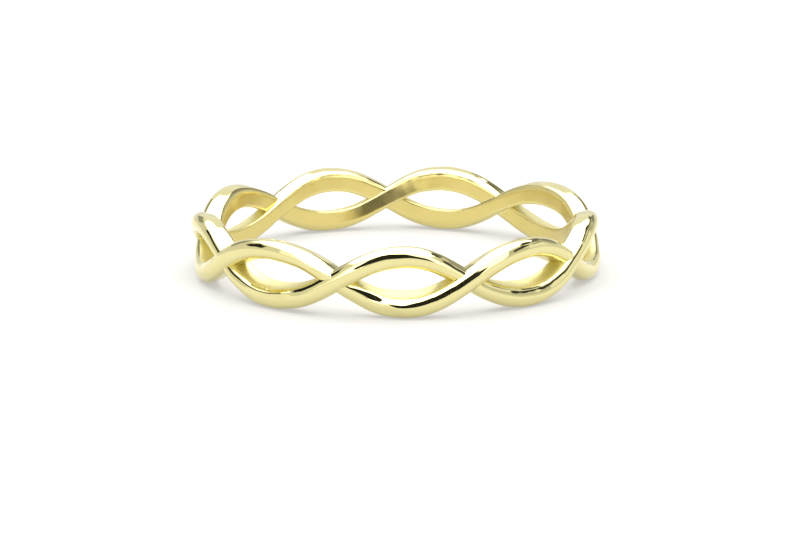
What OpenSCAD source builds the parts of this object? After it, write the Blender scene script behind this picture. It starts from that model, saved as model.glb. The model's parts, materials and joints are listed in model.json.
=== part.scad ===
// Stacking ring: an openwork band of two strands that twist round each other,
// cast and soldered as one piece of gold. It lies on its side on z = 0, with the
// finger hole along Z and the origin under the middle of the hole.
// Because the number of eyes is odd, both strands are one wire that goes round twice.

/* [Ring] */
// Inside diameter across the finger hole, at its tightest points
inner_d = 16.5; // [14:0.1:22]
// Width of the band along the finger, edge to edge, before any crest is lifted
band_w = 3.16; // [2.8:0.02:4.2]

/* [Strand] */
// Width of a strand across its rounded face
strand_w = 1.02; // [0.8:0.02:1.2]
// Depth of a strand from its rounded face to the finger side
strand_t = 1.14; // [0.9:0.02:1.5]
// How far a strand swings out to pass over the other one, and in to pass under it
weave = 0.13; // [0.06:0.01:0.25]
// Lean of each strand's face towards the nearer edge of the band, in degrees
lean = 12; // [0:1:15]
// How far the dome reaches towards an eye before the flat wall starts, in degrees
dome_angle = 70; // [50:1:85]
// Share by which a strand swells away from a plain sine wave, for fuller eyes
fullness = 0.025; // [0:0.005:0.06]
// Share by which a strand narrows where it passes over the other one
over_pinch = 0.06; // [0:0.01:0.2]
// Share by which a strand narrows where it passes under the other one
under_pinch = 0.16; // [0:0.01:0.3]

/* [Corners] */
// Radius of the finger-side corner at the band's edge
edge_round = 0.25; // [0.1:0.01:0.4]
// Radius of the finger-side corner in an eye
eye_round = 0.12; // [0.05:0.01:0.2]

/* [Smoothness] */
// Slices along one strand in each eye (even, so that one ends on the crest)
slices = 12; // [8:2:16]
// Steps round the dome of a strand
dome_steps = 8; // [6:1:12]

/* [Hidden] */

// Angle that each eye takes up round the band. Worked by hand, the eyes are not quite
// even. The first is the front eye, centred on -Y, and the rest follow anticlockwise.
EYE_SPANS = [37.5, 39.5, 39.5, 45, 39, 39, 42, 37.5, 41];
// How far each eye's upper strand stands above band_w, and its share of the full width
CREST_LIFTS = [0.08, 0, 0, 0, 0, 0, 0, 0, -0.01];
CREST_WIDTHS = [0.96, 0.87, 0.94, 0.97, 1, 0.98, 0.96, 0.93, 0.88];
eyes = len(EYE_SPANS);
front = -90;
corner_steps = 2;
// The edge side and the eye side of a strand change places within this share of its rise
swap_share = 1 / 3;

dome_r = strand_w / 2;
wall_t = strand_t - dome_r;
eye_wall = dome_r * sin(dome_angle);
mean_r = inner_d / 2 + weave + wall_t;
rise = (band_w / 2 - dome_r) / (1 - fullness);
laps = 2;
stations = laps * eyes * slices;
gold = [0.93, 0.83, 0.50];

function span(k) = EYE_SPANS[(k + eyes) % eyes];
function span_sum(k) = k == 0 ? 0 : span(k - 1) + span_sum(k - 1);

// Angle round the band at t eyes from the front eye's left crossing: a smooth cubic in
// each eye, with the mean of the two neighbouring spans as its slope at a crossing
function eye_cubic(f, here, before, after) =
    (f ^ 3 - 2 * f ^ 2 + f) * (before + here) / 2
    + (3 * f ^ 2 - 2 * f ^ 3) * here
    + (f ^ 3 - f ^ 2) * (here + after) / 2;
function angle_at(t) =
    let (k = floor(t))
    front - span(0) / 2 + span_sum(k)
    + eye_cubic(t - k, span(k), span(k - 1 + eyes), span(k + 1));

// Middle of the strand at t eyes: it crosses over the other strand at every even t, and
// from there it is the upper strand of an eye. crest_at(t) is 0 on a lower strand.
function eye_of(t) = floor(t) % eyes;
function crest_at(t) = max(0, sin(180 * t)) ^ 2;
function height_at(t) =
    rise * (sin(180 * t) + fullness * sin(540 * t)) + CREST_LIFTS[eye_of(t)] * crest_at(t);
function radius_at(t) = mean_r + weave * cos(180 * t);
function centre_at(t) =
    let (a = angle_at(t), r = radius_at(t))
    [r * cos(a), r * sin(a), band_w / 2 + height_at(t)];

function unit(v) = v / norm(v);
function out_at(t) = [cos(angle_at(t)), sin(angle_at(t)), 0];
function along_at(t) = unit(centre_at(t + 0.01) - centre_at(t - 0.01 + (t < 0.01 ? laps * eyes : 0)));

// Half-section of a strand as [across, out]: eye wall's corner, dome, edge's corner
function arc(across, out, r, from, to, steps) =
    [for (i = [0:steps]) let (a = from + (to - from) * i / steps)
        [across + r * cos(a), out + r * sin(a)]];
section = concat(
    arc(-eye_wall + eye_round, -wall_t + eye_round, eye_round, 270, 180, corner_steps),
    arc(0, 0, dome_r, 90 + dome_angle, 0, dome_steps),
    arc(dome_r - edge_round, -wall_t + edge_round, edge_round, 0, -90, corner_steps));
section_points = len(section);

// A crest strand has its edge side up and a trough strand has it down, so the section
// is blended into its own mirror image where the strand passes a crossing
function blend_at(t) = min(1, max(0, 0.5 + sin(180 * t) / (2 * swap_share)));
function profile_at(t) =
    let (w = blend_at(t), last = section_points - 1)
    [for (i = [0:last])
        w * section[i] + (1 - w) * [-section[last - i].x, section[last - i].y]];

// Share of the full width: pinched at the crossings, and each crest at its own width
function width_at(t) =
    let (c = cos(180 * t))
    1 - (c > 0 ? over_pinch : under_pinch) * c ^ 2 - (1 - CREST_WIDTHS[eye_of(t)]) * crest_at(t);

// The face leans towards the edge of the band, but the finger side stays upright, as it
// is rounded on a mandrel: below the dome, depth grows or shrinks across the section
function outline_at(t) =
    let (
        along = along_at(t),
        out = unit(out_at(t) - (out_at(t) * along) * along),
        across = cross(out, along),
        tilt = -lean * sin(180 * t),
        u = across * cos(tilt) + out * sin(tilt),
        v = out * cos(tilt) - across * sin(tilt),
        w = width_at(t)
    )
    [for (p = profile_at(t))
        let (depth = p.y > 0 ? p.y : p.y * (1 + w * p.x * sin(tilt) / wall_t) / cos(tilt))
        centre_at(t) + w * p.x * u + depth * v];

// One slice of the strand: two outlines as end faces, closed between them by hull()
module slice(t, t_next) {
    ends = [[for (i = [0:section_points - 1]) i],
            [for (i = [0:section_points - 1]) section_points + i]];
    hull() polyhedron(points = concat(outline_at(t), outline_at(t_next)), faces = ends);
}

module twist_band() {
    color(gold)
    for (i = [0:stations - 1])
        slice(i / slices, ((i + 1) % stations) / slices);
}

twist_band();
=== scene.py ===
import json
import math

import bmesh
import bpy
import numpy as np
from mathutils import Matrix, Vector


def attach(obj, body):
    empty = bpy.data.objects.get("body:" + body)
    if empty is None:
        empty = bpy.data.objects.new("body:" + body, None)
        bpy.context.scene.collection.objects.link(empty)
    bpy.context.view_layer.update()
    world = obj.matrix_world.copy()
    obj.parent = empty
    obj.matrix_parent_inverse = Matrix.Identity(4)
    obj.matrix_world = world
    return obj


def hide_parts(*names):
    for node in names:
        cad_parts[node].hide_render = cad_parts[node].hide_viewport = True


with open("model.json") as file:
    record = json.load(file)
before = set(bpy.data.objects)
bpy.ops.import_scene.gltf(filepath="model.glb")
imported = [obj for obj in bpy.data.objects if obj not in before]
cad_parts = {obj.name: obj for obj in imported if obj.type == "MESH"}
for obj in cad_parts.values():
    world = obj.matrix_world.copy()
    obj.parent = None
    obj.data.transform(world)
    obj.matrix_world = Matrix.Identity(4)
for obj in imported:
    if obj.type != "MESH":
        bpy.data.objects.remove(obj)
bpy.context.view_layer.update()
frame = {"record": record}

MM = 0.001

# Ring: the finger hole's two sizes are the frame's, and the others are those of the solid
finger_hole = frame["record"]["mounts"][0]["dims"]
INNER_D = 2 * finger_hole["r_mm"] * MM
BAND_W = finger_hole["length_mm"] * MM
# Angle that each eye takes up round the band, in degrees, anticlockwise from the front eye
EYE_SPANS = np.array([37.5, 39.5, 39.5, 45.0, 39.0, 39.0, 42.0, 37.5, 41.0])
# How far each eye's upper strand stands above BAND_W, and its share of the full width
CREST_LIFT = np.array([0.08, 0.0, 0.0, 0.0, 0.0, 0.0, 0.0, 0.0, -0.01]) * MM
CREST_WIDTH = np.array([0.96, 0.87, 0.94, 0.97, 1.0, 0.98, 0.96, 0.93, 0.88])
EYES = len(EYE_SPANS)
# Direction of the front eye's middle, in degrees
FRONT_ANGLE = -90.0

# A place along the strand is t, counted in eyes from the front eye's left crossing. The strand
# passes over at every even t and under at every odd t, and it closes after two laps.
LAPS = 2
WHOLE_STRAND = LAPS * EYES

# Strand: radius of its rounded face, depth from that face to the finger side, and how far it
# swings out to pass over the other one, and in to pass under it
DOME_R = 0.51 * MM
STRAND_T = 1.14 * MM
WEAVE = 0.13 * MM
# Lean of its face towards the nearer edge of the band, and how far the dome reaches towards an
# eye before the flat wall starts, in degrees
LEAN = 12.0
DOME_ANGLE = 70.0
# Share by which it swells away from a plain sine wave, and by which it narrows at a crossing
FULLNESS = 0.025
OVER_PINCH = 0.06
UNDER_PINCH = 0.16
# Share of its rise within which its edge side and its eye side change places
SWAP_SHARE = 1 / 3
# Radii of the finger side's two corners
EDGE_ROUND = 0.25 * MM
EYE_ROUND = 0.12 * MM
WALL_T = STRAND_T - DOME_R
EYE_WALL = DOME_R * math.sin(math.radians(DOME_ANGLE))
MEAN_R = INNER_D / 2 + WEAVE + WALL_T
RISE = (BAND_W / 2 - DOME_R) / (1 - FULLNESS)

# Unevenness left by hand polishing: height, cycles along the two laps, cycles round the
# section, phase
WAVES = [
    (0.0050 * MM, 31, 1, 0.4),
    (0.0040 * MM, 53, -1, 1.9),
    (0.0028 * MM, 79, 2, 3.3),
    (0.0016 * MM, 127, -2, 5.1),
    (0.0010 * MM, 211, 1, 0.8),
]
# Where the rounded face was worked down beside the front eye's left crossing, or left proud,
# which is a negative depth: t, half-length in t, depth
DENTS = [
    (9.0, 0.11, -0.20 * MM),
    (9.03, 0.05, -0.07 * MM),
    (9.17, 0.14, 0.25 * MM),
    (0.33, 0.12, 0.10 * MM),
]
# Ridges that filing left along the rounded face, or hollows, which have a negative height: t,
# half-length in t, degrees above level, half-width in degrees, height
RIDGES = [
    (9.48, 0.07, 3.0, 15.0, 0.066 * MM),
    (9.40, 0.025, 16.0, 8.0, 0.045 * MM),
    (9.27, 0.045, 27.0, 15.0, -0.024 * MM),
    (17.47, 0.13, 27.0, 8.0, 0.050 * MM),
    (10.27, 0.10, 75.0, 30.0, 0.100 * MM),
    (1.75, 0.20, 25.0, 15.0, -0.018 * MM),
    (8.96, 0.05, 24.0, 9.0, 0.060 * MM),
    (2.02, 0.20, 55.0, 25.0, -0.055 * MM),
    (17.63, 0.05, 30.0, 9.0, 0.060 * MM),
]
# Share by which the rounded face is worn flatter where it passes over the other strand
WORN = 0.12
# Where the finger side was filed to face up: t, half-length in t, angle in degrees
FILED = [(5.0, 0.24, 18.0)]

# Finishes round the section. The satin of the eyes starts in their corner and ends a few
# degrees over the edge of the dome. The finger side's brushed finish and its deeper gold, which
# is painted reflection, fade over both its corners.
SATIN_IN_CORNER = 0.4
SATIN_REACH = 9.5
FINGER_SIDE_IN_EYE_CORNER = 0.6
FINGER_SIDE_IN_EDGE_CORNER = 0.1, 0.9

# Mesh of the strand, in points round the section and slices along it
SLICES_PER_EYE = 60
DOME_POINTS = 56
CORNER_POINTS = 5
WALL_POINTS = 3
FINGER_POINTS = 6
# Step in t that gives the strand's direction
SHORT_STEP = 0.005
# Place in t where the closed strand is cut into its two laps
FIRST_CUT = 0.5
# A face looks along the strand if the cosine of its angle to it is more than this
END_FACING = 0.9
# Points closer together than this, in metres, are one point
SAME_POINT = 1e-9
# Edges that turn by more than this, in degrees, are sharp
SHARP_ANGLE = 35

# Gold: the polished faces vary between two tones, and the finger side is painted a deeper
# gold, a painted reflection of the ring's own gold
PALE_GOLD = (0.775, 0.705, 0.345, 1)
BRIGHT_GOLD = (0.81, 0.74, 0.37, 1)
PAINTED_REFLECTION_GOLD = (0.715, 0.6, 0.225, 1)
# Roughness of the polished faces, least and most, of the finger side and of the eyes' walls
POLISHED_ROUGHNESS = 0.03, 0.09
BRUSHED_ROUGHNESS = 0.26
SATIN_ROUGHNESS = 0.4
# Patterns in the gold, each as its scale, in waves to the metre, and its detail, with the depth
# of the wheel's marks in metres
CLOUDS = 900, 4
POLISHING_PATCHES = 1600, 3
WHEEL_MARKS = 5200, 4
MARK_DEPTH = 0.000002
MARK_STRENGTH = 0.35

# Paper under the ring
FLOOR_HALF = 3.0
PAPER_TONES = (0.295, 0.292, 0.284, 1), (0.31, 0.308, 0.302, 1)
PAPER_GLOW = (1, 0.99, 0.97, 1)
PAPER_GLOW_STRENGTH = 0.43
PAPER_FIBRES = 400, 3
FIBRE_DEPTH = 0.00001
FIBRE_STRENGTH = 0.1

# Studio: even light all round, and curved cards that show in the gold's reflections. A card is
# its name, its first and last azimuth, the elevations of its lower and of its upper edge at
# those two ends, in degrees, its distance in metres and its luminance.
ROOM_LIGHT = (0.85, 0.85, 0.83, 1)
CARD_POINTS = 13
CARDS = [
    ("dark_room", (-23, 6), (8, 5), (50, 46), 0.5, 0.02),
    ("dark_room_side", (-33, -23), (20, 8), (38, 50), 0.5, 0.02),
    ("dark_room_corner", (6, 33), (5, 4), (46, 15), 0.5, 0.02),
    ("left_front_wall", (-46, -20), (4, 4), (60, 60), 0.56, 2.6),
    ("left_front_return", (-60, -46), (4, 4), (60, 60), 0.55, 1.3),
    ("right_front_wall", (6, 52), (4, 4), (60, 60), 0.56, 2.2),
    ("left_shelf", (-114, -80), (29, 15), (46, 35), 0.55, 0.02),
    ("right_wall", (52, 80), (10, 11), (38, 38), 0.6, 0.66),
    ("right_wall_end", (80, 118), (11, 12), (38, 38), 0.6, 1.05),
    ("right_edge", (64, 92), (18, 36), (32, 46), 0.55, 0.05),
    ("right_edge_high", (96, 136), (46, 46), (54, 53), 0.4, 0.06),
    ("right_edge_back", (122, 164), (43, 25), (49, 36), 0.45, 0.2),
    ("right_frame", (98, 126), (33, 31), (40, 36), 0.55, 0.35),
    ("back_door_right", (136, 158), (14, 14), (31, 31), 0.7, 0.3),
    ("back_door_left", (200, 224), (14, 14), (33, 31), 0.7, 0.35),
    ("back_right", (118, 158), (14, 14), (46, 46), 0.75, 0.6),
    ("back_middle", (158, 205), (14, 14), (46, 46), 0.75, 1.0),
    ("back_left", (205, 250), (14, 14), (46, 46), 0.75, 0.8),
]

# Camera: fitted to the photograph's front and back eyes
CAMERA_AZIMUTH = -1.64
CAMERA_ELEVATION = 13.0
CAMERA_DISTANCE = 129.3 * MM
CAMERA_LENS = 124.1
SENSOR_WIDTH = 36
AIM_RIGHT = 0.183 * MM
AIM_DOWN = 1.397 * MM
NEAREST_SEEN = 0.01
FURTHEST_SEEN = 20


# The strand's middle line

def angle_at(t):
    """Angle round the band at t eyes from the front eye's left crossing. In each eye it is the
    cubic through both crossings' angles whose slope at a crossing is the mean of the two
    neighbouring eyes' spans."""
    k = np.floor(t).astype(int)
    f = t - k
    before, here, after = EYE_SPANS[(k - 1) % EYES], EYE_SPANS[k % EYES], EYE_SPANS[(k + 1) % EYES]
    reached = np.concatenate([[0.0], np.cumsum(EYE_SPANS)])[k % EYES] + 360.0 * (k // EYES)
    cubic = (
        (f**3 - 2 * f**2 + f) * (before + here) / 2
        + (3 * f**2 - 2 * f**3) * here
        + (f**3 - f**2) * (here + after) / 2
    )
    return np.radians(FRONT_ANGLE - EYE_SPANS[0] / 2 + reached + cubic)


def centre_at(t):
    """Middle of the strand: its radius is the mean radius plus the weave times the cosine of half
    a turn per eye, and its height is the band's middle plus the rise times the sine of half a
    turn per eye, with a small third harmonic that makes the eyes fuller. A crest strand is also
    lifted by its eye's own amount times the square of that sine."""
    angle = angle_at(t)
    radius = MEAN_R + WEAVE * np.cos(np.pi * t)
    sine = np.sin(np.pi * t)
    lift = CREST_LIFT[np.floor(t).astype(int) % EYES] * np.maximum(sine, 0) ** 2
    height = BAND_W / 2 + RISE * (sine + FULLNESS * np.sin(3 * np.pi * t)) + lift
    return np.stack([radius * np.cos(angle), radius * np.sin(angle), height], axis=-1)


def unit(v):
    """Each vector divided by its own length."""
    return v / np.linalg.norm(v, axis=-1, keepdims=True)


def along_at(t):
    """Direction of the strand at t: from its middle a short step before t to its middle a short
    step after it."""
    return unit(centre_at(t + SHORT_STEP) - centre_at(t - SHORT_STEP))


# The strand's section and the finishes round it

def arc(across, out, r, start, end, points):
    """Points on a circle of radius r about (across, out), evenly spaced from start to end."""
    a = np.radians(np.linspace(start, end, points))
    return np.stack([across + r * np.cos(a), out + r * np.sin(a)], axis=-1)


def line(start, end, points):
    """Points strictly between start and end, evenly spaced on the straight line."""
    f = np.linspace(0, 1, points + 2)[1:-1, None]
    return np.asarray(start) * (1 - f) + np.asarray(end) * f


def strand_section():
    """Closed outline of a crest strand as (across, out): the eye wall's corner, the eye wall, the
    dome, the edge's wall, the edge's corner and the flat finger side."""
    eye_corner = arc(-EYE_WALL + EYE_ROUND, -WALL_T + EYE_ROUND, EYE_ROUND, 270, 180, CORNER_POINTS)
    dome = arc(0, 0, DOME_R, 90 + DOME_ANGLE, 0, DOME_POINTS)
    edge_corner = arc(DOME_R - EDGE_ROUND, -WALL_T + EDGE_ROUND, EDGE_ROUND, 0, -90, CORNER_POINTS)
    return np.concatenate([
        eye_corner,
        line(eye_corner[-1], dome[0], WALL_POINTS),
        dome,
        line(dome[-1], edge_corner[0], WALL_POINTS),
        edge_corner,
        line(edge_corner[-1], eye_corner[0], FINGER_POINTS),
    ])


def eye_wall_share():
    """For each point of the outline, its share of the satin finish in the eyes, which the polishing
    wheel doesn't reach: 1 on the eye wall, fading over its corner and the first SATIN_REACH
    degrees of the dome, and 0 elsewhere."""
    return np.concatenate([
        np.linspace(SATIN_IN_CORNER, 1, CORNER_POINTS),
        np.ones(WALL_POINTS),
        np.clip(1 - np.linspace(0, 90 + DOME_ANGLE, DOME_POINTS) / SATIN_REACH, 0, 1),
        np.zeros(WALL_POINTS + CORNER_POINTS + FINGER_POINTS),
    ])


def finger_side_share():
    """For each point of the outline, its share of the finger side's brushed finish and of its
    deeper gold, which is painted reflection: 1 there, fading over the two corners, and 0 elsewhere."""
    return np.concatenate([
        np.linspace(FINGER_SIDE_IN_EYE_CORNER, 0, CORNER_POINTS),
        np.zeros(WALL_POINTS + DOME_POINTS + WALL_POINTS),
        np.linspace(*FINGER_SIDE_IN_EDGE_CORNER, CORNER_POINTS),
        np.ones(FINGER_POINTS),
    ])


def mirrored_order(values):
    """The outline's values in the order in which its mirror image pairs with it: the upper part
    and the finger side, each from last to first."""
    upper = len(values) - FINGER_POINTS
    return np.concatenate([values[:upper][::-1], values[upper:][::-1]])


def swap_share(t):
    """Share of the plain section at t: 1 on a crest strand, 0 on a trough strand, and a straight
    blend in the sine of half a turn per eye where the strand passes a crossing."""
    return np.clip(0.5 + np.sin(np.pi * t) / (2 * SWAP_SHARE), 0, 1)


def width_share(t):
    """Share of the full width: the strand narrows by OVER_PINCH where it passes over the other
    one and by UNDER_PINCH where it passes under, as the square of the cosine of half a turn
    per eye, and a crest strand to its eye's own share, as the square of the sine."""
    sine, cosine = np.sin(np.pi * t), np.cos(np.pi * t)
    pinch = np.where(cosine > 0, OVER_PINCH, UNDER_PINCH) * cosine**2
    crest = 1 - CREST_WIDTH[np.floor(t).astype(int) % EYES]
    return 1 - pinch - crest * np.maximum(sine, 0) ** 2


# What the maker's hand left on the strand

def hand_polish(t, turn):
    """How far the polished surface stands proud at t, and at turn radians round the section: a
    sum of WAVES, each a sine of a whole number of cycles along the strand's two laps plus a
    whole number round the section, times its own height."""
    along = 2 * np.pi * t / WHOLE_STRAND
    return sum(
        height * np.sin(cycles * along + round_cycles * turn + phase)
        for height, cycles, round_cycles, phase in WAVES
    )


def bell(t, centre, half_length):
    """A bell curve along the strand: 1 at centre, and falling with the distance from it the
    shorter way round the closed strand."""
    apart = (t - centre + WHOLE_STRAND / 2) % WHOLE_STRAND - WHOLE_STRAND / 2
    return np.exp(-((apart / half_length) ** 2) / 2)


def dents(t, rounded):
    """How far the rounded face is worked down at t: for each of DENTS its depth times a bell
    curve along the strand, times rounded, which is 1 in the middle of the face and 0 at its
    edges."""
    return sum(
        depth * bell(t, centre, half_length) * rounded for centre, half_length, depth in DENTS
    )


def ridges(t, level):
    """How far filing left the face proud at t, and at an angle of level radians above the
    horizontal: for each of RIDGES its height times a bell curve along the strand and another
    round the section."""
    return sum(
        height
        * bell(t, centre, half_length)
        * np.exp(-(((np.degrees(level) - direction) / half_width) ** 2) / 2)
        for centre, half_length, direction, half_width, height in RIDGES
    )


def upright(across, out, tilt):
    """Depths below the dome, sheared so that the finger side stays upright in a section that is
    turned by tilt: each is multiplied by one plus across times the tilt's sine over the wall's
    depth, and divided by the tilt's cosine."""
    return np.where(out > 0, out, out * (1 + across * np.sin(tilt) / WALL_T) / np.cos(tilt))


def filed(t, across, out):
    """How far the finger side was filed back at t: for each of FILED the tangent of its angle,
    under a bell curve along the strand, times the distance across from the section's lower
    side, less and less towards the dome."""
    low = across.min(axis=-1, keepdims=True)
    depth = np.clip(-out / WALL_T, 0, 1)
    return sum(
        np.tan(np.radians(angle) * bell(t, centre, half_length))
        * (across - low) * depth
        for centre, half_length, angle in FILED
    )


# The strand's surface and mesh

def strand_surface(t):
    """The section carried along the strand's middle line, one outline for each t. The section is
    blended into its mirror image where the strand passes a crossing, and its face leans towards
    the nearer edge of the band by LEAN times the sine of half a turn per eye."""
    section = strand_section()
    share = swap_share(t)[:, None, None]
    outline = share * section + (1 - share) * mirrored_order(section) * [-1, 1]
    outline[..., 0] *= width_share(t)[:, None]
    tilt = np.radians(-LEAN * np.sin(np.pi * t))[:, None]
    outline[..., 1] = upright(outline[..., 0], outline[..., 1], tilt)
    outline[..., 1] += filed(t[:, None], outline[..., 0], outline[..., 1])
    turn = np.arctan2(outline[..., 1], outline[..., 0])
    proud = hand_polish(t[:, None], turn) + ridges(t[:, None], np.pi / 2 - turn - tilt)
    outline += unit(outline) * proud[..., None]
    rounded = np.clip(outline[..., 1] / DOME_R, 0, 1)
    outline[..., 1] -= dents(t[:, None], rounded)
    worn = WORN * np.maximum(np.cos(np.pi * t), 0) ** 2
    outline[..., 1] -= worn[:, None] * np.maximum(outline[..., 1], 0)

    middle = centre_at(t)
    angle = angle_at(t)
    along = along_at(t)
    radial = np.stack([np.cos(angle), np.sin(angle), np.zeros_like(angle)], axis=-1)
    out = unit(radial - (radial * along).sum(-1, keepdims=True) * along)
    across = np.cross(out, along)
    u = across * np.cos(tilt) + out * np.sin(tilt)
    v = out * np.cos(tilt) - across * np.sin(tilt)
    return middle[:, None] + outline[..., :1] * u[:, None] + outline[..., 1:] * v[:, None]


def mesh_object(name, points, faces):
    """A mesh object at the origin from an array of points and a list of faces."""
    mesh = bpy.data.meshes.new(name)
    mesh.from_pydata(points.tolist(), [], faces)
    mesh.update()
    piece = bpy.data.objects.new(name, mesh)
    bpy.context.collection.objects.link(piece)
    return piece


def lap(name, t, grid):
    """One turn of the strand from its outlines at t: the grid as quads, with a fan of triangles
    round the middle of the outline at each end. Each point carries its shares of the two
    finishes, blended into the mirrored order as the outlines are; the finger side's share also
    sets its deeper gold of painted reflection."""
    n, m = grid.shape[:2]
    i, j = np.meshgrid(np.arange(n - 1), np.arange(m), indexing="ij")
    a, b = i * m + j, i * m + (j + 1) % m
    quads = np.stack([a, a + m, b + m, b], axis=-1).reshape(-1, 4)
    rim = np.arange(m)
    rim_next = (rim + 1) % m
    first_end = np.stack([rim, rim_next, np.full(m, n * m)], axis=-1)
    last_end = np.stack([rim_next, rim, np.full(m, n * m + 1)], axis=-1)
    last_end[:, :2] += (n - 1) * m
    points = np.concatenate([grid.reshape(-1, 3), grid[[0, -1]].mean(axis=1)])
    piece = mesh_object(name, points, quads.tolist() + first_end.tolist() + last_end.tolist())
    share = swap_share(t)[:, None]
    for finish, section in (("eye_wall", eye_wall_share()), ("finger_side", finger_side_share())):
        value = share * section + (1 - share) * mirrored_order(section)
        value = np.append(value.ravel(), [0.0, 0.0])
        piece.data.attributes.new(finish, "FLOAT", "POINT").data.foreach_set("value", value)
    return piece


def joined(name, first, second):
    """The union of two closed meshes as one new mesh, without the walls inside it."""
    union = first.modifiers.new("union", "BOOLEAN")
    union.operation = "UNION"
    union.solver = "MANIFOLD"
    union.object = second
    graph = bpy.context.evaluated_depsgraph_get()
    mesh = bpy.data.meshes.new_from_object(first.evaluated_get(graph))
    mesh.name = name
    piece = bpy.data.objects.new(name, mesh)
    bpy.context.collection.objects.link(piece)
    for used in (first, second):
        bpy.data.objects.remove(used)
    return piece


def clear_joint(mesh, t):
    """Deletes what the union leaves of the laps' ends at t, which are the faces near the strand's
    middle whose normal runs along it, and merges the points of their rim."""
    normals = np.empty(3 * len(mesh.polygons))
    centres = np.empty(3 * len(mesh.polygons))
    mesh.polygons.foreach_get("normal", normals)
    mesh.polygons.foreach_get("center", centres)
    middle = centre_at(np.array([t]))
    along = along_at(np.array([t]))[0]
    across_strand = np.abs(normals.reshape(-1, 3) @ along) > END_FACING
    near = np.linalg.norm(centres.reshape(-1, 3) - middle, axis=1) < STRAND_T
    work = bmesh.new()
    work.from_mesh(mesh)
    work.faces.ensure_lookup_table()
    ends = [work.faces[k] for k in np.nonzero(across_strand & near)[0]]
    bmesh.ops.delete(work, geom=ends, context="FACES_ONLY")
    bmesh.ops.remove_doubles(work, verts=work.verts, dist=SAME_POINT)
    work.to_mesh(mesh)
    work.free()


def twisted_strands():
    """The whole ring as one mesh: the closed strand, cut into two laps in the middle of the front
    eye, which are joined where they cross and where they meet."""
    lap_slices = EYES * SLICES_PER_EYE
    t = np.linspace(FIRST_CUT, FIRST_CUT + WHOLE_STRAND, LAPS * lap_slices + 1)
    strand = strand_surface(t)
    strand[-1] = strand[0]
    piece = joined(
        "twisted_strands",
        lap("first_lap", t[:lap_slices + 1], strand[:lap_slices + 1]),
        lap("second_lap", t[lap_slices:], strand[lap_slices:]),
    )
    for cut in (FIRST_CUT, FIRST_CUT + EYES):
        clear_joint(piece.data, cut)
    piece.data.shade_smooth()
    piece.data.set_sharp_from_angle(angle=math.radians(SHARP_ANGLE))
    return piece


# Materials

def feed(tree, node, values):
    """Gives the named input sockets of a node their values: another node's output is linked, and a
    number or a colour is set on the socket itself."""
    for socket, value in values.items():
        if isinstance(value, bpy.types.NodeSocket):
            tree.links.new(value, node.inputs[socket])
        else:
            node.inputs[socket].default_value = value


def new_material(name):
    """An empty node material with one Principled shader, its node tree and that shader's node."""
    material = bpy.data.materials.new(name)
    material.use_nodes = True
    return material, material.node_tree, material.node_tree.nodes["Principled BSDF"]


def noise(tree, scale, detail):
    """A cloudy pattern in the object's own coordinates, as a number from 0 to 1."""
    place = tree.nodes.new("ShaderNodeTexCoord").outputs["Object"]
    node = tree.nodes.new("ShaderNodeTexNoise")
    feed(tree, node, {"Vector": place, "Scale": scale, "Detail": detail})
    return node.outputs["Fac"]


def finish_and_reflection_share(tree, name):
    """The mesh's own share of a finish at each point, as a number from 0 to 1; the finger
    side's share also sets its painted reflection tone.
    """
    node = tree.nodes.new("ShaderNodeAttribute")
    node.attribute_name = name
    return node.outputs["Fac"]


def tone_between(tree, factor, first, second):
    """A colour that goes from first to second as factor goes from 0 to 1."""
    node = tree.nodes.new("ShaderNodeMix")
    node.data_type = "RGBA"
    feed(tree, node, {"Factor": factor, "A": first, "B": second})
    return node.outputs["Result"]


def number_between(tree, factor, first, second):
    """A number that goes from first to second as factor goes from 0 to 1."""
    node = tree.nodes.new("ShaderNodeMapRange")
    feed(tree, node, {"Value": factor, "To Min": first, "To Max": second})
    return node.outputs["Result"]


def bump(tree, pattern, strength, depth):
    """The surface's normal where the pattern raises it, by up to depth metres."""
    node = tree.nodes.new("ShaderNodeBump")
    feed(tree, node, {"Height": pattern, "Strength": strength, "Distance": depth})
    return node.outputs["Normal"]


def polished_gold():
    """Pale yellow gold: faintly cloudy, nearly a mirror on the domes and patchy at the scale of the
    polishing wheel, satin in the eyes, brushed on the finger side and painted a deeper gold there
    as a painted reflection of the ring's own gold, with fine wheel marks under a micrometre deep."""
    material, tree, shader = new_material("polished_gold")
    eye_wall = finish_and_reflection_share(tree, "eye_wall")
    finger_side = finish_and_reflection_share(tree, "finger_side")
    polished_tone = tone_between(tree, noise(tree, *CLOUDS), PALE_GOLD, BRIGHT_GOLD)
    mirror = number_between(tree, noise(tree, *POLISHING_PATCHES), *POLISHED_ROUGHNESS)
    brushed = number_between(tree, finger_side, mirror, BRUSHED_ROUGHNESS)
    feed(tree, shader, {
        "Metallic": 1.0,
        # Painted reflection: the finger side is painted a deeper gold that stands for light bounced
        # between the ring's own gold faces.
        "Base Color": tone_between(tree, finger_side, polished_tone, PAINTED_REFLECTION_GOLD),
        "Roughness": number_between(tree, eye_wall, brushed, SATIN_ROUGHNESS),
        "Normal": bump(tree, noise(tree, *WHEEL_MARKS), MARK_STRENGTH, MARK_DEPTH),
    })
    return material


def white_paper():
    """Matt white paper with faint fibres. It glows a little, so that the ring's shadow on it stays
    as soft and pale as in a bright studio."""
    material, tree, shader = new_material("white_paper")
    fibres = noise(tree, *PAPER_FIBRES)
    feed(tree, shader, {
        "Base Color": tone_between(tree, fibres, *PAPER_TONES),
        "Normal": bump(tree, fibres, FIBRE_STRENGTH, FIBRE_DEPTH),
        "Emission Color": PAPER_GLOW,
        "Emission Strength": PAPER_GLOW_STRENGTH,
        "Roughness": 0.9,
        "Specular IOR Level": 0.0,
    })
    return material


def card_light(name, luminance):
    """A matt black surface that glows white with the given luminance."""
    material, tree, shader = new_material(name)
    feed(tree, shader, {
        "Base Color": (0, 0, 0, 1),
        "Roughness": 1.0,
        "Specular IOR Level": 0.0,
        "Emission Color": (1, 1, 1, 1),
        "Emission Strength": luminance,
    })
    return material


# Studio

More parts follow.
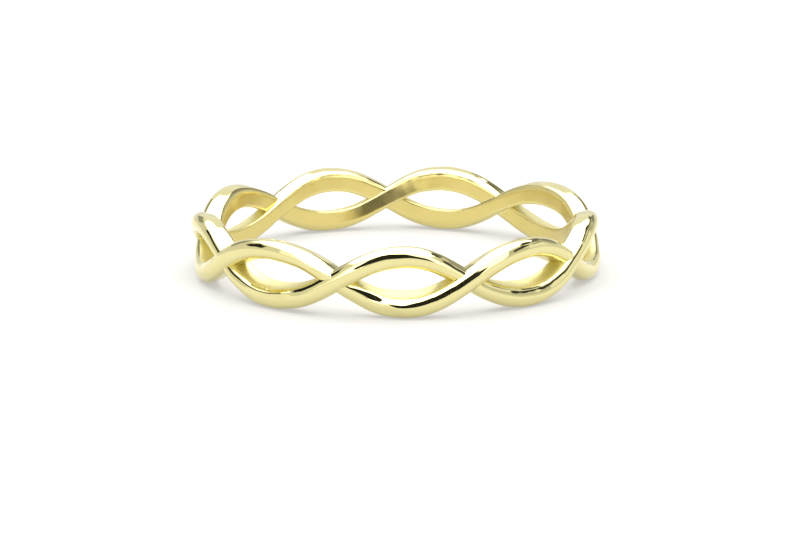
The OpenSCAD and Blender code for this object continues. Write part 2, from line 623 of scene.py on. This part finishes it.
def softbox(name, place, target, size, luminance):
    """A rectangular light of the given luminance at place, facing target."""
    data = bpy.data.lights.new(name, "AREA")
    data.shape = "RECTANGLE"
    data.size, data.size_y = size
    data.energy = luminance * math.pi * size[0] * size[1]
    light = bpy.data.objects.new(name, data)
    light.location = place
    light.rotation_euler = (Vector(target) - Vector(place)).to_track_quat("-Z", "Y").to_euler()
    light.visible_camera = False
    bpy.context.collection.objects.link(light)


def card(name, azimuths, lower, upper, distance, luminance):
    """A curved card between two azimuths, seen from the ring. Its lower and upper edges are given
    as elevations at its two ends. It shows in the gold's reflections only."""
    a = np.radians(np.linspace(*azimuths, CARD_POINTS))[:, None]
    edges = np.stack([np.linspace(*lower, CARD_POINTS), np.linspace(*upper, CARD_POINTS)], axis=-1)
    height = np.tan(np.radians(edges)) * distance
    x, y, z = np.broadcast_arrays(np.sin(a) * distance, -np.cos(a) * distance, height)
    points = np.stack([x, y, z], axis=-1).reshape(-1, 3)
    quads = [[2 * i, 2 * i + 2, 2 * i + 3, 2 * i + 1] for i in range(CARD_POINTS - 1)]
    panel = mesh_object(name, points, quads)
    panel.visible_camera = False
    panel.visible_diffuse = False
    panel.visible_shadow = False
    panel.data.materials.append(card_light(name, luminance))


def even_room():
    """The same pale light from every side."""
    world = bpy.data.worlds.new("studio")
    bpy.context.scene.world = world
    world.use_nodes = True
    background = world.node_tree.nodes["Background"]
    feed(world.node_tree, background, {"Color": ROOM_LIGHT, "Strength": 1.0})


def fitted_camera():
    """The camera, on the photograph's line of sight to the middle of the ring, aimed a little to
    the right of that middle and below it."""
    middle = Vector((0, 0, BAND_W / 2))
    azimuth = math.radians(CAMERA_AZIMUTH)
    elevation = math.radians(CAMERA_ELEVATION)
    back = Vector((
        math.sin(azimuth) * math.cos(elevation),
        -math.cos(azimuth) * math.cos(elevation),
        math.sin(elevation),
    ))
    facing = (-back).to_track_quat("-Z", "Y")
    place = middle + back * CAMERA_DISTANCE
    aim = middle + facing @ Vector((AIM_RIGHT, -AIM_DOWN, 0))
    camera = bpy.data.objects.new("camera", bpy.data.cameras.new("camera"))
    bpy.context.collection.objects.link(camera)
    camera.data.sensor_width = SENSOR_WIDTH
    camera.data.lens = CAMERA_LENS
    camera.data.clip_start = NEAREST_SEEN
    camera.data.clip_end = FURTHEST_SEEN
    camera.location = place
    camera.rotation_mode = "QUATERNION"
    camera.rotation_quaternion = (aim - place).to_track_quat("-Z", "Y")
    return camera


band = twisted_strands()
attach(band, "root")
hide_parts("twist_band")
band.data.materials.clear()
band.data.materials.append(polished_gold())

floor_corners = np.array([[-1, -1, 0], [1, -1, 0], [1, 1, 0], [-1, 1, 0]]) * FLOOR_HALF
floor = mesh_object("pale_floor", floor_corners, [[0, 1, 2, 3]])
floor.data.materials.append(white_paper())

even_room()
softbox("overhead", place=(0, 0.04, 0.6), target=(0, 0.04, 0), size=(1.0, 1.2), luminance=3.0)
for row in CARDS:
    card(*row)
bpy.context.scene.camera = fitted_camera()
bpy.context.scene.view_settings.view_transform = "Standard"
